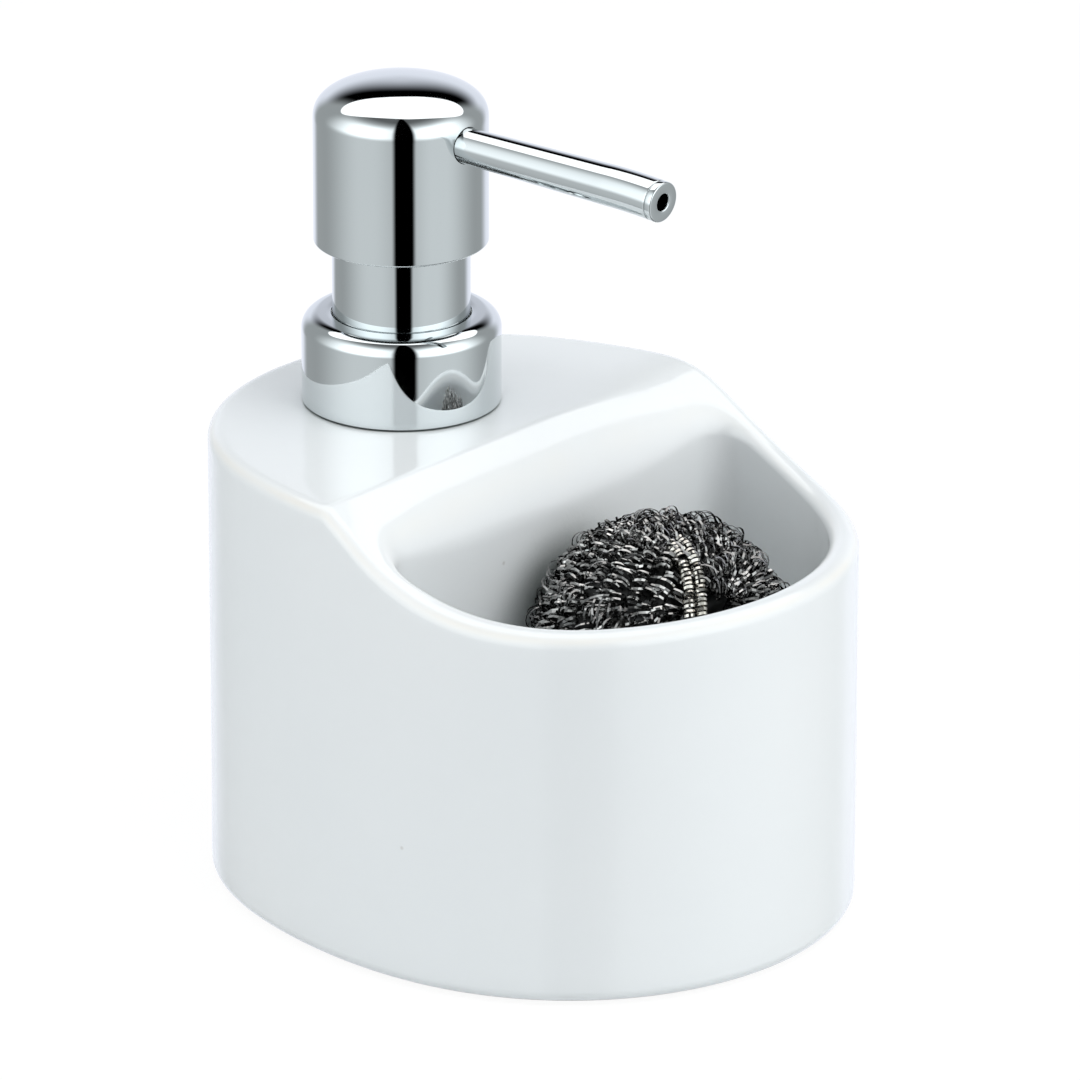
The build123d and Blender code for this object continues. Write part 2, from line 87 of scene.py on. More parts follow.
def lathe(name, profile, segs=192, centre=(0.0, PY)):
    """Closed surface of revolution about the vertical pump axis. profile is a closed loop of (r, z); points with r = 0 become poles."""
    verts, rings = [], []
    for r, z in profile:
        if r < 1e-6:
            rings.append([len(verts)])
            verts.append((centre[0], centre[1], z))
        else:
            rings.append(list(range(len(verts), len(verts) + segs)))
            for i in range(segs):
                a = 2 * math.pi * i / segs
                verts.append((centre[0] + r * math.cos(a), centre[1] + r * math.sin(a), z))
    faces = []
    n = len(rings)
    for k in range(n):
        a, b = rings[k], rings[(k + 1) % n]
        if len(a) == 1 and len(b) == 1:
            continue
        for i in range(segs):
            j = (i + 1) % segs
            if len(a) == 1:
                faces.append((a[0], b[j], b[i]))
            elif len(b) == 1:
                faces.append((a[i], a[j], b[0]))
            else:
                faces.append((a[i], a[j], b[j], b[i]))
    obj = mesh_object(name, verts, faces)
    outward(obj)
    return obj


def outward(obj):
    bm = bmesh.new()
    bm.from_mesh(obj.data)
    bmesh.ops.recalc_face_normals(bm, faces=bm.faces)
    if bm.calc_volume(signed=True) < 0:
        bmesh.ops.reverse_faces(bm, faces=bm.faces)
    bm.to_mesh(obj.data)
    bm.free()
    obj.data.update()


def cut(obj, cutters):
    """Exact boolean difference, applied."""
    for c in cutters:
        m = obj.modifiers.new("cut", "BOOLEAN")
        m.operation, m.solver, m.object = "DIFFERENCE", "EXACT", c
        bpy.context.view_layer.update()
        dg = bpy.context.evaluated_depsgraph_get()
        me = bpy.data.meshes.new_from_object(obj.evaluated_get(dg))
        obj.modifiers.clear()
        old = obj.data
        obj.data = me
        bpy.data.meshes.remove(old)
        bpy.data.objects.remove(c)
    # slivers and doubled points that the cut leaves behind
    bm = bmesh.new()
    bm.from_mesh(obj.data)
    bmesh.ops.remove_doubles(bm, verts=bm.verts, dist=1e-6)
    bmesh.ops.dissolve_degenerate(bm, dist=1e-6, edges=bm.edges)
    bm.to_mesh(obj.data)
    bm.free()


def prism(name, poly, z0, z1):
    n = len(poly)
    verts = [(x, y, z0) for x, y in poly] + [(x, y, z1) for x, y in poly]
    faces = [tuple(range(n))[::-1], tuple(range(n, 2 * n))]
    faces += [(i, (i + 1) % n, n + (i + 1) % n, n + i) for i in range(n)]
    obj = mesh_object(name, verts, faces, smooth=False)
    outward(obj)
    return obj


# ---------------------------------------------------------------- materials
def material(name):
    m = bpy.data.materials.new(name)
    m.use_nodes = True
    nt = m.node_tree
    nt.nodes.clear()
    out = nt.nodes.new("ShaderNodeOutputMaterial")
    bsdf = nt.nodes.new("ShaderNodeBsdfPrincipled")
    nt.links.new(bsdf.outputs[0], out.inputs[0])
    return m, nt, bsdf


def node(nt, kind, **values):
    n = nt.nodes.new(kind)
    for k, v in values.items():
        if k in n.inputs:
            n.inputs[k].default_value = v
        else:
            setattr(n, k, v)
    return n


def coords(nt):
    """Object coordinates: every piece keeps its origin at the frame's origin, so patterns stay put."""
    return nt.nodes.new("ShaderNodeTexCoord").outputs["Object"]


def noise_tex(nt, vec, scale, detail=3.0, rough=0.5):
    n = node(nt, "ShaderNodeTexNoise", Scale=scale, Detail=detail, Roughness=rough)
    nt.links.new(vec, n.inputs["Vector"])
    return n.outputs["Fac"]


def ramp(nt, fac, stops):
    r = nt.nodes.new("ShaderNodeValToRGB")
    els = r.color_ramp.elements
    while len(els) < len(stops):
        els.new(0.5)
    for e, (p, c) in zip(els, stops):
        e.position, e.color = p, (*c, 1.0)
    nt.links.new(fac, r.inputs[0])
    return r.outputs[0]


def map_range(nt, val, a, b, c, d):
    n = node(nt, "ShaderNodeMapRange")
    for i, x in enumerate((a, b, c, d)):
        n.inputs[i + 1].default_value = x
    nt.links.new(val, n.inputs[0])
    return n.outputs[0]


def bump(nt, bsdf, height, strength, distance):
    b = node(nt, "ShaderNodeBump", Strength=strength, Distance=distance)
    nt.links.new(height, b.inputs["Height"])
    nt.links.new(b.outputs[0], bsdf.inputs["Normal"])
    return b


def mix_color(nt, fac, a, b):
    m = nt.nodes.new("ShaderNodeMix")
    m.data_type = "RGBA"
    if isinstance(fac, float):
        m.inputs[0].default_value = fac
    else:
        nt.links.new(fac, m.inputs[0])
    for sock, val in ((m.inputs[6], a), (m.inputs[7], b)):
        if isinstance(val, tuple):
            sock.default_value = (*val, 1.0)
        else:
            nt.links.new(val, sock)
    return m.outputs[2]


def math_node(nt, op, a, b=None):
    m = nt.nodes.new("ShaderNodeMath")
    m.operation = op
    for i, x in enumerate((a, b)):
        if x is None:
            continue
        if isinstance(x, (int, float)):
            m.inputs[i].default_value = x
        else:
            nt.links.new(x, m.inputs[i])
    return m.outputs[0]


def make_glaze():
    m, nt, b = material("glaze")
    co = coords(nt)
    # broad, faint tone change in the glaze, a warm line where it thins over an edge, a few specks
    tone = ramp(nt, noise_tex(nt, co, 18.0, 2.0), [(0.3, (0.852, 0.888, 0.898)), (0.7, (0.878, 0.908, 0.915))])
    thin = nt.nodes.new("ShaderNodeAttribute")
    thin.attribute_name = "thin_glaze"
    patch = map_range(nt, noise_tex(nt, co, 60.0, 2.0), 0.35, 0.65, 0.35, 1.0)
    fac = math_node(nt, "MULTIPLY", math_node(nt, "MULTIPLY", thin.outputs["Fac"], patch), 0.62)
    col = mix_color(nt, fac, tone, (0.90, 0.87, 0.79))
    voro = node(nt, "ShaderNodeTexVoronoi", Scale=130.0)
    nt.links.new(co, voro.inputs["Vector"])
    rare = map_range(nt, noise_tex(nt, co, 95.0, 0.0), 0.70, 0.72, 0.0, 1.0)
    dot = map_range(nt, voro.outputs["Distance"], 0.06, 0.03, 0.0, 1.0)
    speck = math_node(nt, "MULTIPLY", math_node(nt, "MULTIPLY", rare, dot), 0.35)
    col = mix_color(nt, speck, col, (0.45, 0.43, 0.40))
    # unglazed foot
    sep = nt.nodes.new("ShaderNodeSeparateXYZ")
    nt.links.new(co, sep.inputs[0])
    bare = map_range(nt, sep.outputs["Z"], 0.0012, 0.0008, 0.0, 1.0)
    grain = ramp(nt, noise_tex(nt, co, 900.0, 4.0), [(0.3, (0.62, 0.60, 0.56)), (0.7, (0.72, 0.70, 0.66))])
    col = mix_color(nt, bare, col, grain)
    # painted shade: the glaze colour is darkened towards a dark grey-green where ambient occlusion finds it
    # sheltered, deep in the tray and round what lies in it
    near = nt.nodes.new("ShaderNodeAmbientOcclusion")
    near.samples = 6
    near.inputs["Distance"].default_value = 0.013
    height = nt.nodes.new("ShaderNodeSeparateXYZ")
    nt.links.new(co, height.inputs[0])
    painted_tray_shade = map_range(nt, near.outputs["AO"], 0.14, 0.56, 0.95, 0.0)
    painted_tray_shade = math_node(nt, "MULTIPLY", painted_tray_shade, map_range(nt, height.outputs["Z"], 0.030, 0.034, 0.0, 1.0))
    col = mix_color(nt, painted_tray_shade, col, (0.20, 0.23, 0.22))
    nt.links.new(col, b.inputs["Base Color"])
    rough = map_range(nt, noise_tex(nt, co, 45.0, 3.0), 0.3, 0.7, 0.05, 0.10)
    nt.links.new(math_node(nt, "ADD", rough, math_node(nt, "MULTIPLY", bare, 0.55)), b.inputs["Roughness"])
    b.inputs["IOR"].default_value = 1.52
    h = noise_tex(nt, co, 140.0, 2.0)
    bump(nt, b, h, 0.06, 0.0006)
    return m


def make_chrome():
    m, nt, b = material("chrome")
    co = coords(nt)
    col = ramp(nt, noise_tex(nt, co, 30.0, 2.0), [(0.3, (0.665, 0.70, 0.712)), (0.7, (0.69, 0.72, 0.73))])
    nt.links.new(col, b.inputs["Base Color"])
    b.inputs["Metallic"].default_value = 1.0
    r = map_range(nt, noise_tex(nt, co, 220.0, 4.0), 0.3, 0.7, 0.02, 0.045)
    nt.links.new(r, b.inputs["Roughness"])
    bump(nt, b, noise_tex(nt, co, 60.0, 2.0), 0.03, 0.0002)
    return m


def make_plastic(name, c0, c1, rough, clear=0.0, scale=350.0):
    m, nt, b = material(name)
    co = coords(nt)
    nt.links.new(ramp(nt, noise_tex(nt, co, 40.0, 3.0), [(0.3, c0), (0.7, c1)]), b.inputs["Base Color"])
    nt.links.new(map_range(nt, noise_tex(nt, co, 120.0, 3.0), 0.3, 0.7, rough * 0.8, rough * 1.2), b.inputs["Roughness"])
    bump(nt, b, noise_tex(nt, co, scale * 4, 3.0), 0.12, 0.0001)
    if clear:
        b.inputs["Transmission Weight"].default_value = clear
        b.inputs["IOR"].default_value = 1.49
    return m


def make_steel(name, c0, c1, r0, r1, painted_shade_reach=0.0):
    m, nt, b = material(name)
    co = coords(nt)
    tone = ramp(nt, noise_tex(nt, co, 260.0, 3.0), [(0.3, c0), (0.7, c1)])
    if painted_shade_reach:
        # painted shade: the wire's colour is darkened towards near black where ambient occlusion finds it deep
        # between its neighbours
        occlusion_shade = nt.nodes.new("ShaderNodeAmbientOcclusion")
        occlusion_shade.samples = 4
        occlusion_shade.inputs["Distance"].default_value = painted_shade_reach
        tone = mix_color(nt, map_range(nt, occlusion_shade.outputs["AO"], 0.30, 0.80, 0.0, 1.0), (0.006, 0.007, 0.007), tone)
    nt.links.new(tone, b.inputs["Base Color"])
    b.inputs["Metallic"].default_value = 1.0
    nt.links.new(map_range(nt, noise_tex(nt, co, 500.0, 3.0), 0.3, 0.7, r0, r1), b.inputs["Roughness"])
    bump(nt, b, noise_tex(nt, co, 1800.0, 2.0), 0.15, 0.00005)
    return m


GLAZE = make_glaze()
CHROME = make_chrome()
WHITE = make_plastic("white_plastic", (0.78, 0.78, 0.75), (0.83, 0.83, 0.80), 0.38)
NATURAL = make_plastic("natural_plastic", (0.74, 0.77, 0.77), (0.80, 0.82, 0.82), 0.32, clear=0.25)
SEAL = make_plastic("seal_plastic", (0.60, 0.66, 0.72), (0.66, 0.72, 0.78), 0.5)
TUBE = make_plastic("tube_plastic", (0.78, 0.82, 0.82), (0.84, 0.87, 0.87), 0.2, clear=0.5)
GASKET = make_plastic("gasket_rubber", (0.55, 0.55, 0.53), (0.62, 0.62, 0.60), 0.75)
PADS = make_plastic("clear_rubber", (0.50, 0.52, 0.53), (0.58, 0.60, 0.61), 0.6)
SPRING = make_steel("spring_steel", (0.55, 0.55, 0.57), (0.66, 0.66, 0.68), 0.16, 0.28)
# the outer coils, loose curls and tie carry painted shade between neighbouring loops
WOOL = make_steel("steel_wool", (0.064, 0.063, 0.061), (0.67, 0.66, 0.645), 0.05, 0.14, painted_shade_reach=0.0017)
# the loose curls get a darker copy of the same steel: painted shade
WOOL_OPEN_SHADED = make_steel("steel_wool_open_shaded", (0.056, 0.055, 0.053), (0.40, 0.39, 0.385), 0.05, 0.14, painted_shade_reach=0.0017)
# the under layer's wire is a darker copy of the same steel: painted shade
WOOL_UNDER_SHADED = make_steel("steel_wool_under_shaded", (0.07, 0.07, 0.07), (0.20, 0.20, 0.20), 0.18, 0.34)
ROPE = make_steel("steel_wool_tie", (0.51, 0.48, 0.43), (0.78, 0.755, 0.70), 0.07, 0.16, painted_shade_reach=0.0010)
# near-black steel for the pad's inner mass: painted shade
SHADE_CORE = make_steel("steel_wool_shade_core", (0.010, 0.010, 0.010), (0.05, 0.05, 0.05), 0.35, 0.6)


def paint(obj, mat):
    obj.data.materials.clear()
    obj.data.materials.append(mat)
    return obj


# ---------------------------------------------------------------- ceramic body
def outline_at(a, inset):
    r, dr = R0, 0.0
    for k, c in enumerate(RC, start=1):
        r += c * math.cos(k * a)
        dr -= c * k * math.sin(k * a)
    x, y = r * math.sin(a), YC - r * math.cos(a)
    tx = dr * math.sin(a) + r * math.cos(a)
    ty = -dr * math.cos(a) + r * math.sin(a)
    s = math.hypot(tx, ty)
    return x - inset * ty / s, y + inset * tx / s


def clamped_spline(pts, t0, t1, n=400):
    """C2 cubic through pts with chord-length parameter and given end directions; returns dense samples."""
    p = np.array(pts, float)
    u = np.concatenate([[0], np.cumsum(np.linalg.norm(np.diff(p, axis=0), axis=1))])
    k = len(p)
    t0 = np.array(t0) / np.linalg.norm(t0)
    t1 = np.array(t1) / np.linalg.norm(t1)
    a = np.zeros((k, k))
    b = np.zeros((k, 2))
    a[0, 0] = a[-1, -1] = 1
    b[0], b[-1] = t0, t1
    for i in range(1, k - 1):
        h0, h1 = u[i] - u[i - 1], u[i + 1] - u[i]
        a[i, i - 1], a[i, i], a[i, i + 1] = h1, 2 * (h0 + h1), h0
        b[i] = 3 * (h1 * (p[i] - p[i - 1]) / h0 + h0 * (p[i + 1] - p[i]) / h1)
    d = np.linalg.solve(a, b)
    out = []
    for s in np.linspace(0, u[-1], n):
        i = min(int(np.searchsorted(u, s, side="right")) - 1, k - 2)
        h = u[i + 1] - u[i]
        w = (s - u[i]) / h
        out.append(
            (2 * w**3 - 3 * w**2 + 1) * p[i]
            + (w**3 - 2 * w**2 + w) * h * d[i]
            + (-2 * w**3 + 3 * w**2) * p[i + 1]
            + (w**3 - w**2) * h * d[i + 1]
        )
    return np.array(out)


ridge_start = RIDGE_Y + RIDGE_R * math.tan(RIDGE_A / 2)
arc = [
    (ridge_start - RIDGE_R * math.sin(a), TOP - RIDGE_R * (1 - math.cos(a)))
    for a in np.linspace(0, RIDGE_A, 12)
]
slope = [arc[-1], (0.32, 76.60), (-3.81, 73.65), (-8.97, 70.55), (-15.15, 67.75), (-23.4, 65.45), (-33.7, 64.25), (-46.0, 64.35), (-62.0, 65.15)]
curve = clamped_spline(slope, (-math.cos(RIDGE_A), -math.sin(RIDGE_A)), (-1, 0.05))
prof_y = np.concatenate([[90.0], [p[0] for p in arc], curve[1:, 0]])[::-1]
prof_z = np.concatenate([[TOP], [p[1] for p in arc], curve[1:, 1]])[::-1]


even_y = np.linspace(prof_y[0], prof_y[-1], 6081)
even_z = np.interp(even_y, prof_y, prof_z)
gauss = np.exp(-0.5 * (np.arange(-560, 561) / 150.0) ** 2)
gauss /= gauss.sum()
worn_z = np.convolve(np.pad(even_z, 560, mode="edge"), gauss, "valid")


def zs(xy):
    """Height of the top surface. The ridge is crisp on the left and runs out softly on the right."""
    t = np.clip((xy[:, 0] - 8.0) / 34.0, 0, 1)
    t = t * t * (3 - 2 * t) * np.clip((xy[:, 1] + 30.0) / 14.0, 0, 1)
    return (1 - t) * np.interp(xy[:, 1], prof_y, prof_z) + t * np.interp(xy[:, 1], even_y, worn_z)


def build_ceramic():
    cols = 460
    fine = np.linspace(0, 2 * math.pi, 4001)
    pts = np.array([outline_at(a, 0.0) for a in fine])
    s = np.concatenate([[0], np.cumsum(np.linalg.norm(np.diff(pts, axis=0), axis=1))])
    ang = np.interp(np.linspace(0, s[-1], cols, endpoint=False), s, fine)
    # tray opening: the outline moved in, closed by a straight rear edge with round corners
    # the corner's centre is where the outline, moved in by wall plus radius, meets the line behind it
    scan = np.linspace(0.3, 2.6, 4000)
    far_in = np.array([outline_at(a, TRAY_WALL + TRAY_CORNER) for a in scan])
    hit = int(np.argmin(np.abs(far_in[:, 1] - (TRAY_REAR - TRAY_CORNER))))
    corner = far_in[hit]
    rim_in = np.array(outline_at(scan[hit], TRAY_WALL))
    arc_end = math.degrees(math.atan2(*(rim_in - corner)[::-1]))
    right = [corner + TRAY_CORNER * np.array([math.cos(math.radians(a)), math.sin(math.radians(a))]) for a in np.linspace(90, arc_end, 60)]
    start = right[-1]
    inner = np.array([outline_at(a, TRAY_WALL) for a in np.linspace(0, math.pi, 4000)])
    front = inner[inner[:, 1] < start[1]][::-1]  # right side, going to the front
    half = np.vstack([[(x, TRAY_REAR) for x in np.linspace(0, corner[0] - 0.1, 60)], right, front])
    mouth = np.vstack([half, (half * np.array([-1, 1]))[::-1][1:-1]])
    c = np.array([0.0, -24.0])
    # even spacing, then a light smoothing so that the corners run softly into the sides
    loop = np.vstack([mouth, mouth[:1]])
    ss = np.concatenate([[0], np.cumsum(np.linalg.norm(np.diff(loop, axis=0), axis=1))])
    m = 2400
    even = np.stack([np.interp(np.linspace(0, ss[-1], m, endpoint=False), ss, loop[:, k]) for k in (0, 1)], 1)
    kern = np.exp(-0.5 * (np.arange(-40, 41) / 11.0) ** 2)
    kern /= kern.sum()
    soft = np.stack([np.convolve(np.concatenate([even[-40:, k], even[:, k], even[:40, k]]), kern, "valid") for k in (0, 1)], 1)
    tan = np.roll(soft, -1, 0) - np.roll(soft, 1, 0)
    tan /= np.linalg.norm(tan, axis=1)[:, None]
    nor = np.stack([-tan[:, 1], tan[:, 0]], 1)
    if np.mean(np.sum(nor * (soft - c), 1)) < 0:
        nor = -nor
    pa = np.arctan2(soft[:, 0] - c[0], -(soft[:, 1] - c[1])) % (2 * math.pi)
    order = np.argsort(pa)
    pa, soft, nor = pa[order], soft[order], nor[order]
    pa3 = np.concatenate([pa - 2 * math.pi, pa, pa + 2 * math.pi])

    def at(arr, q):
        a3 = np.concatenate([arr, arr, arr])
        return np.stack([np.interp(q, pa3, a3[:, 0]), np.interp(q, pa3, a3[:, 1])], 1)

    out0 = np.array([outline_at(a, 0.0) for a in ang])
    q = np.arctan2(out0[:, 0] - c[0], -(out0[:, 1] - c[1])) % (2 * math.pi)
    mp, mn = at(soft, q), at(nor, q)
    mn /= np.linalg.norm(mn, axis=1)[:, None]

    def outl(inset):
        return np.array([outline_at(a, inset) for a in ang])

    rings = []  # (xy, z, thin)
    zero = np.zeros(cols)
    for f in (0.04, 0.3, 0.6, 0.85):
        rings.append((outl(R_BASE) * f, zero + FOOT, zero))
    for ph in np.linspace(0, 90, 9):
        a = math.radians(ph)
        rings.append((outl(R_BASE * (1 - math.sin(a))), zero + FOOT + R_BASE * (1 - math.cos(a)), zero))
    o0 = outl(0.0)
    ztop = zs(o0) - R_OUT
    for f in np.linspace(0, 1, 26)[1:]:
        rings.append((o0, FOOT + R_BASE + (ztop - FOOT - R_BASE) * f, zero))
    for ph in np.linspace(0, 90, 13)[1:]:
        a = math.radians(ph)
        xy = outl(R_OUT * (1 - math.cos(a)))
        thin = zero + math.exp(-(((ph - 40) / 17.0) ** 2))
        rings.append((xy, zs(xy) - R_OUT * (1 - math.sin(a)), thin))
    # the round-over of the mouth is wide along the rear edge and narrow along the rim
    w = np.clip((mn[:, 1] - 0.35) / 0.65, 0, 1)
    r_in = R_IN + (R_IN_REAR - R_IN) * w * w * (3 - 2 * w)
    b_out = outl(R_OUT)
    # never wider than the wall's top has room for, and changing slowly round the mouth
    r_in = np.minimum(r_in, 0.72 * np.sum(mn * (b_out - mp), 1))
    ease = np.hanning(23) / np.hanning(23).sum()
    for _ in range(8):
        r_in = np.minimum(r_in, np.convolve(np.concatenate([r_in[-11:], r_in, r_in[:11]]), ease, "valid"))
    for _ in range(2):
        r_in = np.convolve(np.concatenate([r_in[-11:], r_in, r_in[:11]]), ease, "valid")
    r_col = r_in[:, None]
    a_in = mp + mn * r_col
    steps = 92
    for k in range(1, steps):
        t = k / steps
        xy = b_out + (a_in - b_out) * t
        rings.append((xy, zs(xy), zero))
    for ph in np.linspace(90, 0, 16):
        a = math.radians(ph)
        xy = mp + mn * (r_col * (1 - math.cos(a)))
        thin = zero + 0.35 * math.exp(-(((ph - 55) / 20.0) ** 2))
        rings.append((xy, zs(xy) - r_in * (1 - math.sin(a)), thin))
    zw = zs(mp) - r_in
    for f in np.linspace(0, 1, 18)[1:]:
        rings.append((mp, zw + (TRAY_FLOOR + R_FLOOR - zw) * f, zero))
    for ph in np.linspace(0, 90, 12)[1:]:
        a = math.radians(ph)
        rings.append((mp - mn * (R_FLOOR * (1 - math.cos(a))), zero + TRAY_FLOOR + R_FLOOR * (1 - math.sin(a)), zero))
    fin = mp - mn * R_FLOOR
    for f in (0.85, 0.65, 0.45, 0.25, 0.08):
        rings.append((c + (fin - c) * f, zero + TRAY_FLOOR, zero))
    xyz = np.concatenate([np.column_stack([xy, z]) for xy, z, _ in rings])
    thin = np.concatenate([t for _, _, t in rings])
    # hand-made unevenness of a cast and glazed body, under a twentieth of a millimetre
    x, y, z = xyz.T
    wob = 0.035 * (
        np.sin(x * 0.11 + 1.3) * np.sin(y * 0.09 + 0.4) * np.sin(z * 0.08 + 2.1)
        + 0.6 * np.sin(x * 0.05 - y * 0.07 + z * 0.13 + 0.7)
    )
    radial = np.column_stack([x, y - YC])
    radial /= np.maximum(np.linalg.norm(radial, axis=1), 1e-6)[:, None]
    away = np.clip((z - FOOT) / 6.0, 0, 1)
    xyz[:, 0] += radial[:, 0] * wob * away
    xyz[:, 1] += radial[:, 1] * wob * away
    n = len(rings)
    idx = np.arange(cols)
    nxt = (idx + 1) % cols
    faces = []
    for k in range(n - 1):
        a, b = k * cols, (k + 1) * cols
        faces += list(zip(a + idx, a + nxt, b + nxt, b + idx))
    verts = np.vstack([xyz, [(0, 0, FOOT)], [(c[0], c[1], TRAY_FLOOR)]])
    thin = np.concatenate([thin, [0, 0]])
    bottom, top = len(verts) - 2, len(verts) - 1
    last = (n - 1) * cols
    faces += [(bottom, nx, i) for i, nx in zip(idx, nxt)]
    faces += [(top, last + i, last + nx) for i, nx in zip(idx, nxt)]
    obj = mesh_object("ceramic_glazed_body", verts, faces)
    at_ = obj.data.attributes.new("thin_glaze", "FLOAT", "POINT")
    at_.data.foreach_set("value", thin.astype(np.float32))
    outward(obj)
    # reservoir, neck hole and the recesses of the pads
    inner = [outline_at(a, 5.2) for a in np.linspace(0, 2 * math.pi, 180, endpoint=False)]
    rear = [p for p in inner if p[1] > 3.4]
    rear = sorted(rear, key=lambda p: math.atan2(p[0], p[1] - 3.0))
    xs_left, xs_right = rear[0][0], rear[-1][0]
    rear = [(xs_left, 3.4)] + rear + [(xs_right, 3.4)]
    circle = [(13.0 * math.cos(t), PY + 13.0 * math.sin(t)) for t in np.linspace(0, 2 * math.pi, 96, endpoint=False)]
    cutters = [prism("cut_low", inner, 6.0, 28.5), prism("cut_rear", rear, 6.0, TOP - 5.4), prism("cut_neck", circle, TOP - 12, TOP + 4)]
    for px, py in ((24, 36), (-24, 36), (27, -31), (-27, -31)):
        dot = [(px + 4.7 * math.cos(t), py + 4.7 * math.sin(t)) for t in np.linspace(0, 2 * math.pi, 40, endpoint=False)]
        cutters.append(prism("cut_pad", dot, -1.0, 1.5))
    cut(obj, cutters)
    sharp_by_angle(obj, 35)
    return obj


ceramic = paint(build_ceramic(), GLAZE)
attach(ceramic, "bottle")
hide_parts("ceramic_body")
print("ceramic faces", len(ceramic.data.polygons), sum(len(p.vertices) - 2 for p in ceramic.data.polygons))

# ---------------------------------------------------------------- chrome parts
collar_top, collar_bottom, fz = TOP + 15.4, TOP + 0.3, TOP + 12.2
collar = lathe(
    "collar_cover",
    arc_pts(16.25, collar_bottom + 0.25, 0.25, -90, 0, 6)
    + [(16.5, collar_bottom + f * (collar_top - 2.8 - collar_bottom)) for f in (0.1, 0.35, 0.65, 0.9)]
    + arc_pts(13.7, collar_top - 2.8, 2.8, 0, 90, 26)
    + [(12.6, collar_top)]
    + arc_pts(11.8, collar_top - 0.2, 0.2, 90, 180, 5)
    + [(11.6, collar_top - 0.5), (13.7, collar_top - 0.5)]
    + arc_pts(13.7, collar_top - 2.5, 2.0, 80, 0, 8)
    + [(15.7, collar_bottom)],
    segs=240,
)
sharp_by_angle(collar, 40)
sleeve = lathe(
    "guide_sleeve_chrome",
    [(10.6, fz + 1.0), (12.55, fz + 1.0), (12.55, fz + 1.5), (11.4, fz + 1.5)]
    + [(11.4, z) for z in np.linspace(fz + 2.2, 108.9, 8)]
    + arc_pts(11.2, 109.3, 0.2, 0, 90, 5)
    + [(10.6, 109.5)],
    segs=240,
)
sharp_by_angle(sleeve, 40)

HEAD_R, HEAD_B, HEAD_S, HEAD_T, SPOUT_Z = 14.42, 106.5, 127.6, 134.2, 125.85


def dome(radius, side, top, count=60):
    pts = []
    for i in range(count + 1):
        a = math.pi / 2 * i / count
        pts.append((radius * max(math.cos(a), 0.0) ** (2 / 2.3), side + (top - side) * math.sin(a) ** (2 / 2.45)))
    pts[-1] = (0.0, top)
    return pts


outer_dome = dome(HEAD_R, HEAD_S, HEAD_T)
head = lathe(
    "head_cap",
    [(HEAD_R - 1.0, HEAD_B + 0.2), (HEAD_R - 0.8, HEAD_B)]
    + arc_pts(HEAD_R - 0.4, HEAD_B + 0.4, 0.4, -90, 0, 8)
    + [(HEAD_R, z) for z in np.linspace(HEAD_B + 1.0, HEAD_S - 0.6, 28)]
    + outer_dome
    + [p for p in dome(HEAD_R - 1.0, HEAD_S, HEAD_T - 1.0, 20)[::-1]]
    + [(HEAD_R - 1.0, z) for z in np.linspace(HEAD_S - 2, HEAD_B + 3, 6)],
    segs=240,
)
hole = [(3.11 * math.cos(t), 3.11 * math.sin(t)) for t in np.linspace(0, 2 * math.pi, 96, endpoint=False)]
bore = prism("cut_spout", hole, 0.0, 12.0)
bore.data.transform(Matrix.Translation(Vector((0, PY - 8, SPOUT_Z)) * MM) @ Matrix.Rotation(math.radians(90), 4, "X"))
cut(head, [bore])
# exact normals on the outer skin, so that the cut hole leaves no marks in the reflections
me = head.data
co = np.zeros(len(me.vertices) * 3)
me.vertices.foreach_get("co", co)
co = co.reshape(-1, 3) / MM
lv = np.zeros(len(me.loops), int)
me.loops.foreach_get("vertex_index", lv)
pn = np.zeros(len(me.polygons) * 3)
me.polygons.foreach_get("normal", pn)
pn = pn.reshape(-1, 3)
starts = np.zeros(len(me.polygons), int)
tot = np.zeros(len(me.polygons), int)
me.polygons.foreach_get("loop_start", starts)
me.polygons.foreach_get("loop_total", tot)
lp = np.repeat(np.arange(len(me.polygons)), tot)
loop_order = np.argsort(np.concatenate([np.arange(a, a + t) for a, t in zip(starts, tot)]), kind="stable")
lp = lp[loop_order]
p = co[lv]
rad = np.hypot(p[:, 0], p[:, 1] - PY)
od = np.array(outer_dome)
td = np.gradient(od, axis=0)
nd = np.stack([td[:, 1], -td[:, 0]], 1)
nd /= np.linalg.norm(nd, axis=1)[:, None]
nd[0], nd[-1] = (1, 0), (0, 1)
arcl = np.concatenate([[0], np.cumsum(np.linalg.norm(np.diff(od, axis=0), axis=1))])
d2 = (rad[:, None] - od[None, :, 0]) ** 2 + (p[:, 2][:, None] - od[None, :, 1]) ** 2
near = np.argmin(d2, 1)
nr, nz = nd[near, 0].copy(), nd[near, 1].copy()
side = p[:, 2] <= HEAD_S
nr[side], nz[side] = 1.0, 0.0
safe = np.maximum(rad, 1e-6)
want = np.stack([nr * p[:, 0] / safe, nr * (p[:, 1] - PY) / safe, nz], 1)
outer = (np.sum(want * pn[lp], 1) > 0.85) & (p[:, 2] > HEAD_B + 0.38) & ((rad > HEAD_R - 0.05) | (p[:, 2] > HEAD_S))
outer &= ~((p[:, 2] > HEAD_S) & (np.sqrt(d2[np.arange(len(near)), near]) > 0.45))
me.polygons.foreach_set("use_smooth", np.ones(len(me.polygons), bool))
sharp_by_angle(head, 40)
flat = np.array([tuple(n.vector) for n in me.corner_normals])
final = np.where(outer[:, None], want, flat)
me.normals_split_custom_set([tuple(n) for n in final])

# spout: straight, then bending gently down
BEND_Y, BEND_R, BEND = -17.0, 120.0, math.radians(4.5)
ys = list(np.linspace(24.91, BEND_Y, 34))
path = [(y, SPOUT_Z, 0.0) for y in ys] + [
    (BEND_Y - BEND_R * math.sin(a), SPOUT_Z - BEND_R * (1 - math.cos(a)), a)
    for a in np.linspace(0, BEND, 22)[1:]
]


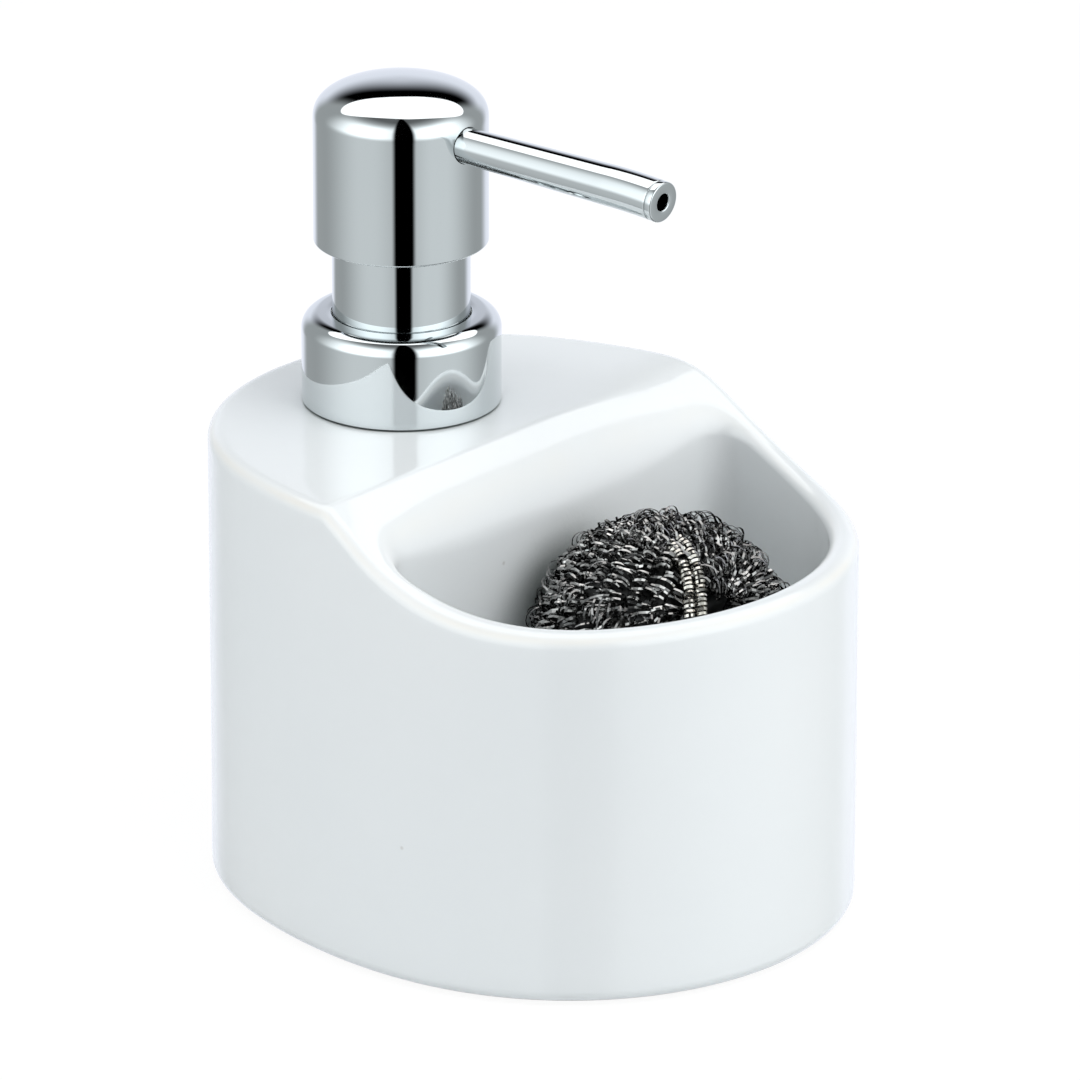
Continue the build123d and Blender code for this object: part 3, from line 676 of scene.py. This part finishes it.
def tube_rings(name, sections, segs=96):
    """sections: (y, z, tilt, radius) in order round a closed profile; makes a closed swept tube."""
    verts = []
    for y, z, a, r in sections:
        for i in range(segs):
            t = 2 * math.pi * i / segs
            u, v = r * math.cos(t), r * math.sin(t)
            # the section plane is normal to (0, -cos a, -sin a)
            verts.append((u, y - v * math.sin(a), z + v * math.cos(a)))
    n = len(sections)
    faces = []
    for k in range(n):
        a, b = k * segs, ((k + 1) % n) * segs
        for i in range(segs):
            j = (i + 1) % segs
            faces.append((a + i, a + j, b + j, b + i))
    obj = mesh_object(name, verts, faces)
    outward(obj)
    return obj


def along(sec, d):
    y, z, a = sec
    return (y - d * math.cos(a), z - d * math.sin(a), a)


SR, SR_ROOT, TAPER_Y, BORE = 3.4, 3.0, 13.4, 2.3
end = path[-1]
sections = [(*s, float(np.interp(s[0], [BEND_Y, TAPER_Y], [SR, SR_ROOT]))) for s in path[:-1]]
sections += [(*along(end, -0.22 * (1 - math.sin(t))), SR - 0.22 * (1 - math.cos(t))) for t in np.linspace(0, math.pi / 2, 6)]
sections += [(*end, BORE)] + [(*s, BORE) for s in path[:-1][::-1]]
spout = tube_rings("spout_pipe", sections)
sharp_by_angle(spout, 40)
tip_end = along(end, 0.06)
tip_sections = []
for t in np.linspace(math.pi / 2, 0, 6):
    tip_sections.append((*along(tip_end, 0.1 * (1 - math.sin(t))), SR - 0.1 * (1 - math.cos(t))))
for t in np.linspace(0, math.pi / 2, 7):
    tip_sections.append((*along(tip_end, 1.2 - 0.28 * (1 - math.sin(t))), SR - 0.28 * (1 - math.cos(t))))
tip_sections += [(*along(tip_end, 1.2), 2.3)]
for t in np.linspace(0, math.pi / 2, 5):
    tip_sections.append((*along(tip_end, 1.2 - 0.25 * (1 - math.cos(t))), 1.70 - 0.25 * math.sin(t)))
tip_sections += [(*along(tip_end, d), 1.45) for d in (0.4, -1.2, -3.6)]
tip_sections += [(*along(tip_end, -3.6), 2.18), (*along(tip_end, -0.1), 2.18)]
tip = tube_rings("spout_nozzle", tip_sections)
sharp_by_angle(tip, 40)

for obj, body, cad in (
    (collar, "collar", "collar_shroud"),
    (sleeve, "pump_unit", "guide_sleeve"),
    (head, "head", "head_shell"),
    (spout, "head", "spout_tube"),
    (tip, "head", "spout_tip"),
):
    paint(obj, CHROME)
    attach(obj, body)
    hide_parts(cad)


# ---------------------------------------------------------------- return spring
def sweep_wire(points, radius, sides):
    """Closed round wire along points (parallel transport)."""
    pts = np.asarray(points, float)
    tan = np.gradient(pts, axis=0)
    tan /= np.linalg.norm(tan, axis=1)[:, None]
    up = np.cross(tan[0], (0.3, 0.5, 0.8))
    up /= np.linalg.norm(up)
    verts, faces = [], []
    for k, (q, t) in enumerate(zip(pts, tan)):
        up = up - t * np.dot(up, t)
        up /= np.linalg.norm(up)
        side_ = np.cross(t, up)
        for i in range(sides):
            a = 2 * math.pi * i / sides
            verts.append(q + radius * (math.cos(a) * up + math.sin(a) * side_))
        if k:
            b, c = (k - 1) * sides, k * sides
            faces += [(b + i, b + (i + 1) % sides, c + (i + 1) % sides, c + i) for i in range(sides)]
    faces.append(tuple(range(sides))[::-1])
    faces.append(tuple(range(len(verts) - sides, len(verts))))
    return verts, faces


turns, z_low, z_high, wire = 7.5, 56.47, 78.03, 0.45
t = np.linspace(0, turns, 480)
# the end coils lie closed and the middle coils open
rise = np.interp(t, [0, 0.9, turns - 0.9, turns], [0, 0.055, 0.945, 1])
pts = np.column_stack([4.9 * np.cos(2 * math.pi * t), PY + 4.9 * np.sin(2 * math.pi * t), z_low + (z_high - z_low) * rise])
v, f = sweep_wire(pts, wire, 12)
spring = mesh_object("return_coil", v, f)
outward(spring)
sharp_by_angle(spring, 50)
paint(spring, SPRING)
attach(spring, "pump_unit")
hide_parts("return_spring")
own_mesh(spring)

# ---------------------------------------------------------------- scouring pad
PAD_C = np.array([2.0, -26.15, 50.6])
PAD_AB = np.array([22.2, 21.0, 19.4])
HUB = np.array([-0.24, -0.808, 0.538])
HUB /= np.linalg.norm(HUB)
rng = np.random.default_rng(7)


def pad_point(direction, depth):
    """A point at the given depth under the pad's skin, along a direction from its centre."""
    d = np.asarray(direction, float)
    d = d / np.linalg.norm(d, axis=-1, keepdims=True)
    # distance along d to a mound a little more pointed than an ellipsoid
    reach = np.sum(np.abs(d / PAD_AB) ** 1.84, axis=-1, keepdims=True) ** (-1 / 1.84)
    return PAD_C + d * (reach - depth)


def resample(path, step):
    path = np.asarray(path, float)
    s = np.concatenate([[0], np.cumsum(np.linalg.norm(np.diff(path, axis=0), axis=1))])
    n = max(int(s[-1] / step), 4)
    u = np.linspace(0, s[-1], n)
    return np.stack([np.interp(u, s, path[:, k]) for k in range(3)], 1), u


def coil(path, radius, pitch, width, thick, phase, per_turn=11, wobble=0.18):
    """A flat ribbon wound in loops along a path. Each ring has three corners: two outside, one inside."""
    step = pitch / per_turn
    p, s = resample(path, step)
    tan = np.gradient(p, axis=0)
    tan /= np.linalg.norm(tan, axis=1)[:, None]
    out = p - PAD_C
    out -= tan * np.sum(out * tan, 1)[:, None]
    out /= np.linalg.norm(out, axis=1)[:, None]
    side_ = np.cross(tan, out)
    knots = max(int(s[-1] / (pitch * 0.7)), 4)
    r_n = np.interp(s, np.linspace(0, s[-1], knots), rng.normal(0, 1, knots))
    a_n = np.interp(s, np.linspace(0, s[-1], knots), rng.normal(0, 1, knots))
    t_n = np.interp(s, np.linspace(0, s[-1], knots), rng.normal(0, 1, knots))
    ang = 2 * math.pi * s / pitch + phase + a_n * wobble * 2.2
    r = radius * (1 + wobble * r_n)
    lean = t_n * wobble * 1.6
    c, sn = np.cos(ang), np.sin(ang)
    radial = out * c[:, None] + side_ * sn[:, None]
    centre = p + radial * r[:, None] + tan * (lean * radius * c)[:, None]
    tilt = 0.5 * a_n
    wide = tan * np.cos(tilt)[:, None] + radial * np.sin(tilt)[:, None]
    a = centre + wide * (width / 2)
    b = centre - wide * (width / 2)
    d = centre - radial * thick
    n = len(centre)
    verts = np.stack([a, b, d], 1).reshape(-1, 3)
    k = np.arange(n - 1) * 3
    quads = np.concatenate(
        [np.stack([k + i, k + (i + 1) % 3, k + 3 + (i + 1) % 3, k + 3 + i], 1) for i in range(3)]
    )
    caps = [(0, 2, 1), (3 * n - 3, 3 * n - 2, 3 * n - 1)]
    return verts, quads, caps


def keep_inside(v):
    """Loops stay clear of the tray: over its floor, off its front and rear walls."""
    v = v.copy()
    v[:, 2] = np.maximum(v[:, 2], 34.15)
    v[:, 1] = np.clip(v[:, 1], -47.0, -5.2)
    return v


def joined(name, coils, mat, smooth=False):
    verts, faces, base = [], [], 0
    for v, q, caps in coils:
        verts.append(keep_inside(v))
        faces += [tuple(x) for x in (q + base).tolist()]
        faces += [tuple(i + base for i in c) for c in caps]
        base += len(v)
    obj = mesh_object(name, np.vstack(verts), faces, smooth=smooth)
    outward(obj)
    paint(obj, mat)
    return obj


# two tangents that span the plane across the hub axis
e1 = np.cross(HUB, (0, 0, 1.0))
e1 /= np.linalg.norm(e1)
e2 = np.cross(HUB, e1)


def row(beta, depth, phi0, phi1, wav, n=160):
    phi = np.linspace(phi0, phi1, n)
    w = wav[0] * np.sin(2 * phi + wav[1]) + wav[2] * np.sin(5 * phi + wav[3])
    b = beta + w
    d = (
        HUB[None, :] * np.cos(b)[:, None]
        + (e1[None, :] * np.cos(phi)[:, None] + e2[None, :] * np.sin(phi)[:, None]) * np.sin(b)[:, None]
    )
    dd = depth + 0.45 * np.sin(3 * phi + wav[3]) + 0.3 * np.sin(7 * phi + wav[1])
    return pad_point(d, dd[:, None])


layers = {"outer": [], "under": []}
wav = np.array([0.05, 0.7, 0.02, 2.0])
betas = np.arange(0.24, 2.95, 0.128)
for i, beta in enumerate(betas):
    wv = wav + rng.normal(0, 1, 4) * np.array([0.012, 0.25, 0.008, 0.5])
    p0 = rng.uniform(0, 2 * math.pi)
    layers["outer"].append(
        coil(row(beta, 1.7, p0, p0 + 2 * math.pi + 0.12, wv), 1.62, rng.uniform(1.0, 1.25), 0.40, 0.15, rng.uniform(0, 6), per_turn=12, wobble=0.2)
    )
for i, beta in enumerate(betas[::2] + 0.06):
    wv = wav * 1.6 + rng.normal(0, 1, 4) * np.array([0.03, 0.5, 0.02, 0.7])
    p0 = rng.uniform(0, 2 * math.pi)
    layers["under"].append(
        coil(row(beta, 3.6, p0, p0 + 2 * math.pi, wv), 1.8, rng.uniform(1.0, 1.3), 0.46, 0.14, rng.uniform(0, 6), per_turn=10, wobble=0.26)
    )
# loose curls standing off the skin
loose = []
for i in range(46):
    d = rng.normal(0, 1, 3)
    d[2] = abs(d[2]) * 0.7 + 0.05
    d /= np.linalg.norm(d)
    t = np.cross(d, rng.normal(0, 1, 3))
    t /= np.linalg.norm(t)
    arc_ = [d * math.cos(x) + t * math.sin(x) for x in np.linspace(0, rng.uniform(0.35, 0.8), 24)]
    loose.append(coil(pad_point(np.array(arc_), rng.uniform(0.5, 1.3)), rng.uniform(1.2, 2.0), rng.uniform(1.2, 2.0), 0.34, 0.10, rng.uniform(0, 6), per_turn=14, wobble=0.3))
# wide open curls where the pad has sprung loose, on its far right
for i in range(30):
    d = np.array([0.62, 0.42, 0.55]) + rng.normal(0, 0.24, 3)
    d[2] = max(d[2], 0.12)
    d /= np.linalg.norm(d)
    t = np.cross(d, rng.normal(0, 1, 3))
    t /= np.linalg.norm(t)
    arc_ = [d * math.cos(x) + t * math.sin(x) for x in np.linspace(0, rng.uniform(0.3, 0.6), 24)]
    loose.append(coil(pad_point(np.array(arc_), rng.uniform(0.9, 1.6)), rng.uniform(1.7, 2.4), rng.uniform(1.1, 1.7), 0.36, 0.10, rng.uniform(0, 6), per_turn=18, wobble=0.22))
pieces = [joined("scourer_coils_outer", layers["outer"], WOOL), joined("scourer_coils_under", layers["under"], WOOL_UNDER_SHADED), joined("scourer_curls_loose", loose, WOOL_OPEN_SHADED)]

# the tight double strand that gathers the pad beside its hub
ends = [np.array([-1.2, -31.5, 71.0]), np.array([-2.7, -36.0, 69.4]), np.array([-5.0, -39.6, 66.2]), np.array([-7.2, -41.6, 62.6]), np.array([-8.6, -42.6, 58.8]), np.array([-9.2, -43.0, 54.0])]
strand = np.array([pad_point(e - PAD_C, 0.2)[0:3] for e in ends])
u = np.linspace(0, len(strand) - 1, 90)
curve_ = np.stack([np.interp(u, range(len(strand)), strand[:, k]) for k in range(3)], 1)
kern = np.ones(15) / 15
curve_ = np.stack([np.convolve(np.pad(curve_[:, k], 7, mode="edge"), kern, "valid") for k in range(3)], 1)
across = np.cross(np.gradient(curve_, axis=0), curve_ - PAD_C)
across /= np.linalg.norm(across, axis=1)[:, None]
tie = [
    coil(curve_ + across * off, 0.98, 0.78, 0.46, 0.2, ph, per_turn=16, wobble=0.03)
    for off, ph in ((-1.02, 0.0), (1.02, 2.4))
]
pieces.append(joined("scourer_tie", tie, ROPE))

# dark inner mass: a near-black shell under the coils, painted shade standing in for the shadow inside the pad
core_v, core_f = [], []
seg, stk = 96, 60
for j in range(stk + 1):
    th = math.pi * j / stk
    for i in range(seg):
        a = 2 * math.pi * i / seg
        d = np.array([math.sin(th) * math.cos(a), math.sin(th) * math.sin(a), math.cos(th)])
        hub = max(0.0, float(np.dot(d, HUB)) - 0.93) / 0.07
        dep = 2.6 + 0.5 * math.sin(9 * a + 3 * th) * math.sin(th) + 0.5 * math.sin(17 * th + 5 * a) * math.sin(th) + 5.0 * hub
        core_v.append(pad_point(d, dep))
for j in range(stk):
    for i in range(seg):
        k = (i + 1) % seg
        core_f.append((j * seg + i, (j + 1) * seg + i, (j + 1) * seg + k, j * seg + k))
core = mesh_object("scourer_shade_mass", np.array(core_v), core_f)
bm = bmesh.new()
bm.from_mesh(core.data)
bmesh.ops.remove_doubles(bm, verts=bm.verts, dist=1e-6)
bm.to_mesh(core.data)
bm.free()
for vert in core.data.vertices:
    vert.co.z = max(vert.co.z, 0.0342)
outward(core)
paint(core, SHADE_CORE)
pieces.append(core)
for o in pieces:
    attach(o, "pad")
    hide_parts("scourer")
    print(o.name, "faces", len(o.data.polygons))

# ---------------------------------------------------------------- materials of the CAD nodes that stay
for name, mat in {
    "neck_insert": WHITE,
    "foot_pads": PADS,
    "closure_nut": WHITE,
    "neck_gasket": GASKET,
    "pump_housing": NATURAL,
    "chaplet": WHITE,
    "pump_stem": NATURAL,
    "piston_rod": WHITE,
    "piston_seal": SEAL,
    "inlet_ball": SPRING,
    "ball_cage": WHITE,
    "dip_tube": TUBE,
    "head_core": WHITE,
}.items():
    nodes[name].data.materials.clear()
    nodes[name].data.materials.append(mat)

# ---------------------------------------------------------------- stage
scene = bpy.context.scene
scene.view_settings.view_transform = "Standard"
scene.view_settings.look = "None"
scene.view_settings.exposure = 0.0
scene.view_settings.gamma = 1.0

world = bpy.data.worlds.new("studio")
scene.world = world
world.use_nodes = True
wn = world.node_tree
wn.nodes.clear()
wo = wn.nodes.new("ShaderNodeOutputWorld")
bg = wn.nodes.new("ShaderNodeBackground")
bg.inputs[0].default_value = (0.93, 0.96, 1.0, 1.0)
bg.inputs[1].default_value = 0.50

# What polished surfaces see: a plain light room with two soft panels, left and right of the camera,
# a dark gap between them where the camera stands, and a round diffuser overhead and behind.
AZ, EL, DIST = math.radians(-49.3), math.radians(20.32), 1.6335
ROOM, PANEL, PANEL_ON_TABLE, DIFFUSER = 0.43, 1.15, 0.36, 1.7
wtc = wn.nodes.new("ShaderNodeTexCoord").outputs["Generated"]


def along_axis(axis):
    dot = wn.nodes.new("ShaderNodeVectorMath")
    dot.operation = "DOT_PRODUCT"
    wn.links.new(wtc, dot.inputs[0])
    dot.inputs[1].default_value = axis
    return dot.outputs["Value"]


def wm(op, a, b=0.0):
    return math_node(wn, op, a, b)


def soft_step(value, a, b):
    """0 below a, 1 above b, smooth between; falls instead of rising when a is above b."""
    if a > b:
        return wm("SUBTRACT", 1.0, soft_step(value, b, a))
    m = wn.nodes.new("ShaderNodeMapRange")
    m.interpolation_type = "SMOOTHSTEP"
    wn.links.new(value, m.inputs["Value"])
    m.inputs["From Min"].default_value, m.inputs["From Max"].default_value = a, b
    m.inputs["To Min"].default_value, m.inputs["To Max"].default_value = 0.0, 1.0
    return m.outputs[0]


def between(value, centre, core, edge):
    """1 within core of the centre, falling to 0 at edge."""
    return soft_step(wm("ABSOLUTE", wm("SUBTRACT", value, centre)), edge, core)


w_front = along_axis((math.sin(AZ), -math.cos(AZ), 0.0))
w_right = along_axis((math.cos(AZ), math.sin(AZ), 0.0))
w_up = along_axis((0.0, 0.0, 1.0))
azim = wm("MULTIPLY", wm("ARCTAN2", w_right, w_front), 180 / math.pi)
elev = wm("MULTIPLY", wm("ARCSINE", w_up), 180 / math.pi)
panels = wm("ADD", between(azim, -46.0, 6.0, 74.0), wm("MULTIPLY", between(azim, 52.0, 8.0, 66.0), 1.08))
upright = wm("MULTIPLY", soft_step(elev, -14.0, 4.0), soft_step(elev, 60.0, 30.0))
strength = wm("ADD", PANEL_ON_TABLE, wm("MULTIPLY", upright, PANEL))
front_val = wm("ADD", ROOM, wm("MULTIPLY", panels, strength))
front_val = wm("MULTIPLY", front_val, wm("SUBTRACT", 1.0, wm("MULTIPLY", soft_step(elev, 42.0, 74.0), 0.80)))
front_val = wm("MULTIPLY", front_val, wm("SUBTRACT", 1.0, between(azim, 4.5, 10.5, 17.0)))
back_val = wm("MULTIPLY", soft_step(elev, 34.0, 12.0), 1.0)
behind = wm("ADD", soft_step(azim, 128.0, 152.0), soft_step(wm("MULTIPLY", azim, -1.0), 138.0, 160.0))
up_safe = wm("MAXIMUM", w_up, 0.05)
over_x = wm("DIVIDE", wm("SUBTRACT", wm("DIVIDE", w_right, up_safe), 0.10), 1.1)
over_y = wm("DIVIDE", wm("ADD", wm("DIVIDE", w_front, up_safe), 0.52), 0.60)
round_ = wm("ADD", wm("POWER", wm("ABSOLUTE", over_x), 1.35), wm("POWER", wm("ABSOLUTE", over_y), 1.8))
panel = wm("MULTIPLY", soft_step(round_, 1.05, 0.96), soft_step(w_up, 0.3, 0.35))


def tinted(value, color):
    c_ = wn.nodes.new("ShaderNodeCombineXYZ")
    for i_ in range(3):
        wn.links.new(math_node(wn, "MULTIPLY", value, color[i_]), c_.inputs[i_])
    return c_.outputs[0]


seen = mix_color(wn, behind, tinted(front_val, (0.935, 0.985, 1.0)), tinted(back_val, (0.94, 0.97, 1.07)))
seen = mix_color(wn, panel, seen, (DIFFUSER, DIFFUSER, DIFFUSER))
mirror_bg = wn.nodes.new("ShaderNodeBackground")
wn.links.new(seen, mirror_bg.inputs[0])
mirror_bg.inputs[1].default_value = 1.0
wmix = wn.nodes.new("ShaderNodeMixShader")
wn.links.new(wn.nodes.new("ShaderNodeLightPath").outputs["Is Glossy Ray"], wmix.inputs[0])
wn.links.new(bg.outputs[0], wmix.inputs[1])
wn.links.new(mirror_bg.outputs[0], wmix.inputs[2])
wn.links.new(wmix.outputs[0], wo.inputs[0])


def plane(name, size_x, size_y, location, rotation=(0, 0, 0)):
    sx, sy = size_x / 2, size_y / 2
    me_ = bpy.data.meshes.new(name)
    me_.from_pydata([(-sx, -sy, 0), (sx, -sy, 0), (sx, sy, 0), (-sx, sy, 0)], [], [(0, 1, 2, 3)])
    o = link(bpy.data.objects.new(name, me_))
    o.location = location
    o.rotation_euler = rotation
    return o


floor = plane("floor", 12, 12, (0, 0, 0))
fm, fnt, fb = material("floor")
fb.inputs["Base Color"].default_value = (0.72, 0.73, 0.73, 1)
fb.inputs["Roughness"].default_value = 0.7
fout = next(n for n in fnt.nodes if n.type == "OUTPUT_MATERIAL")
glow = fnt.nodes.new("ShaderNodeEmission")
glow.inputs[0].default_value = (1, 1, 1, 1)
glow.inputs[1].default_value = 1.06
lpth = fnt.nodes.new("ShaderNodeLightPath")
mixs = fnt.nodes.new("ShaderNodeMixShader")
camfac = math_node(fnt, "MULTIPLY", lpth.outputs["Is Camera Ray"], 0.88)
fnt.links.new(camfac, mixs.inputs[0])
fnt.links.new(fb.outputs[0], mixs.inputs[1])
fnt.links.new(glow.outputs[0], mixs.inputs[2])
fnt.links.new(mixs.outputs[0], fout.inputs[0])
floor.data.materials.append(fm)
floor.visible_glossy = False

# camera: a long lens, from the front left and a little above
back = Vector((math.sin(AZ) * math.cos(EL), -math.cos(AZ) * math.cos(EL), math.sin(EL)))
right_ = Vector((math.cos(AZ), math.sin(AZ), 0.0))
up_ = back.cross(right_)
target = Vector((0.0, 7.535, 77.84)) * MM
# the optical axis is turned a little so that the object sits in the frame as it should
aim = (-back * 9969 + right_ * 43.5 - up_ * 108.5).normalized()
cam_data = bpy.data.cameras.new("camera")
cam_data.lens = 332.3
cam_data.sensor_width = 36.0
cam_data.clip_start, cam_data.clip_end = 0.1, 50
cam = link(bpy.data.objects.new("camera", cam_data))
z_ = -aim
x_ = (right_ - aim * right_.dot(aim)).normalized()
y_ = z_.cross(x_)
cam.matrix_world = Matrix(((x_.x, y_.x, z_.x, 0), (x_.y, y_.y, z_.y, 0), (x_.z, y_.z, z_.z, 0), (0, 0, 0, 1)))
cam.location = target + back * DIST
scene.camera = cam


def emitter(name, size_x, size_y, az, el, dist, strength, color=(1, 1, 1), centre=(0, 0, 0.07)):
    """A soft panel facing the object, placed by the angle it is seen at."""
    a, e = math.radians(az), math.radians(el)
    d = Vector((math.sin(a) * math.cos(e), -math.cos(a) * math.cos(e), math.sin(e)))
    o = plane(name, size_x, size_y, (0, 0, 0))
    o.rotation_mode = "QUATERNION"
    o.rotation_quaternion = d.to_track_quat("Z", "Y")
    o.location = Vector(centre) + d * dist
    m, nt, b = material(name)
    out = next(n for n in nt.nodes if n.type == "OUTPUT_MATERIAL")
    em = nt.nodes.new("ShaderNodeEmission")
    em.inputs[0].default_value = (*color, 1)
    em.inputs[1].default_value = strength
    nt.links.new(em.outputs[0], out.inputs[0])
    o.data.materials.append(m)
    o.visible_camera = False
    o.visible_glossy = False
    o.visible_shadow = False
    o.visible_transmission = False
    return o


emitter("soft_top", 0.9, 0.9, -45, 76, 1.1, 1.8)
emitter("soft_left", 0.8, 1.1, -130, 20, 1.25, 2.2)
emitter("soft_right", 0.8, 1.1, 42, 20, 1.25, 1.25)
emitter("soft_front", 0.8, 0.8, 6, 38, 1.1, 2.8)
